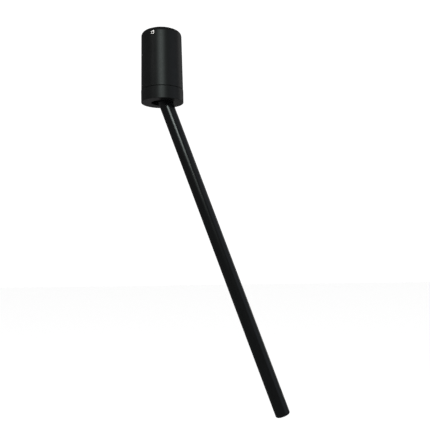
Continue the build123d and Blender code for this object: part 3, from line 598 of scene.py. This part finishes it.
bare_aluminium = turned_aluminium()
red_fibre = moulded_plastic("red_fibre", (0.33, 0.09, 0.05), 0.7)
smooth_copy("yoke", "turned_yoke", bare_aluminium, "aluminium", "swivel")
smooth_copy("pivot_screws", "shoulder_screws", stainless, "stainless", "swivel")
smooth_copy("friction_washers", "fibre_washers", red_fibre, "fibre", "swivel")
smooth_copy("knuckle", "coated_knuckle", satin_black, "satin_black", "tube")
smooth_copy("lock_screws", "flush_screws", stainless, "stainless", "tube")
smooth_copy("lens", "collimator_lens", glass, "clear", "tube")

# ---- Everything kept from the frame -------------------------------------------------------------
# Fasteners, bearings, wiring and the lamp's inner parts keep their own shapes. Each gets the finish
# of what it is made of.


def zinc_plate():
    """Zinc plated steel: cool, slightly cloudy, with a fine grain."""
    material, tree, shader, place = finish("zinc_plated_steel", (0.56, 0.58, 0.61), 0.38, 1.0)
    cloud = mottle(tree, place, 5 * MM, 4.0)
    tint(tree, shader, cloud, (0.50, 0.52, 0.56), (0.64, 0.65, 0.66))
    vary(tree, shader, "Roughness", cloud, 0.30, 0.46)
    relief(tree, shader, mottle(tree, place, 0.25 * MM, 2.0), 0.006 * MM)
    return material


def bare_brass():
    """Bare brass, a little dulled by handling."""
    material, tree, shader, place = finish("bare_brass", (0.72, 0.53, 0.25), 0.32, 1.0)
    cloud = mottle(tree, place, 2.5 * MM, 3.0)
    tint(tree, shader, cloud, (0.62, 0.44, 0.20), (0.78, 0.60, 0.30))
    vary(tree, shader, "Roughness", cloud, 0.24, 0.42)
    return material


def soft_rubber():
    """Matt black moulded rubber."""
    material, tree, shader, place = finish("moulded_rubber", (0.022, 0.022, 0.022), 0.72)
    cloud = mottle(tree, place, 3 * MM, 3.0)
    tint(tree, shader, cloud, (0.017, 0.017, 0.017), (0.028, 0.028, 0.029))
    vary(tree, shader, "Roughness", cloud, 0.64, 0.80)
    relief(tree, shader, mottle(tree, place, 0.2 * MM, 2.0), 0.01 * MM)
    return material


def striped_lead():
    """Green wire insulation with a yellow stripe that winds slowly round it."""
    material, tree, shader, place = finish("earth_wire", (0.08, 0.36, 0.10), 0.35)
    band = tree.nodes.new("ShaderNodeTexWave")
    band.inputs["Scale"].default_value = 45.0
    band.inputs["Distortion"].default_value = 0.4
    band.bands_direction = "DIAGONAL"
    tree.links.new(place.outputs["Object"], band.inputs["Vector"])
    tint(tree, shader, band.outputs["Fac"], (0.06, 0.30, 0.08), (0.78, 0.62, 0.05), 0.55, 0.62)
    return material


def circuit_board(name, mask, copper):
    """Solder mask over a faint pattern of copper tracks."""
    material, tree, shader, place = finish(name, mask, 0.3)
    tracks = tree.nodes.new("ShaderNodeTexBrick")
    tracks.inputs["Scale"].default_value = 320.0
    tracks.inputs["Mortar Size"].default_value = 0.06
    tracks.inputs["Color1"].default_value = (*mask, 1)
    tracks.inputs["Color2"].default_value = (*[c * 0.9 for c in mask], 1)
    tracks.inputs["Mortar"].default_value = (*copper, 1)
    tree.links.new(place.outputs["Object"], tracks.inputs["Vector"])
    tree.links.new(tracks.outputs["Color"], shader.inputs["Base Color"])
    relief(tree, shader, tracks.outputs["Fac"], 0.03 * MM)
    return material


def phosphor_cap():
    """Yellow phosphor over the emitter."""
    material, tree, shader, place = finish("led_phosphor", (0.90, 0.72, 0.12), 0.5)
    tint(tree, shader, mottle(tree, place, 0.3 * MM, 2.0), (0.85, 0.66, 0.10), (0.95, 0.80, 0.18))
    shader.inputs["Subsurface Weight"].default_value = 0.2
    shader.inputs["Subsurface Radius"].default_value = (0.5 * MM, 0.4 * MM, 0.1 * MM)
    return material


finishes = {
    "stainless": stainless,
    "zinc_steel": zinc_plate(),
    "aluminium": bare_aluminium,
    "brass": bare_brass(),
    "rubber": soft_rubber(),
    "cable_jacket": moulded_plastic("cable_jacket", (0.020, 0.020, 0.022), 0.5),
    "white_plastic": moulded_plastic("white_housing", (0.80, 0.79, 0.75), 0.42, 0.1),
    "black_plastic": moulded_plastic("black_spacer", (0.030, 0.030, 0.033), 0.5),
    "acetal": moulded_plastic("natural_acetal", (0.80, 0.79, 0.72), 0.3, 0.2),
    "fibre": red_fibre,
    "mains_lead": moulded_plastic("brown_wire", (0.26, 0.10, 0.04), 0.35),
    "winding": moulded_plastic("wound_core", (0.07, 0.06, 0.055), 0.55),
    "capacitor_sleeve": moulded_plastic("capacitor_sleeve", (0.03, 0.04, 0.12), 0.25),
    "earth_lead": striped_lead(),
    "circuit_board": circuit_board("green_board", (0.02, 0.17, 0.07), (0.06, 0.28, 0.12)),
    "board_white": circuit_board("white_board", (0.84, 0.84, 0.82), (0.70, 0.70, 0.68)),
    "phosphor": phosphor_cap(),
    "satin_black": satin_black,
    "gloss_black_tube": anodised,
    "clear": glass,
}
for entry in frame["record"]["subparts"]:
    kept = nodes[entry["node"]]
    kept.data.materials.clear()
    kept.data.materials.append(finishes[entry["material_slot"]])
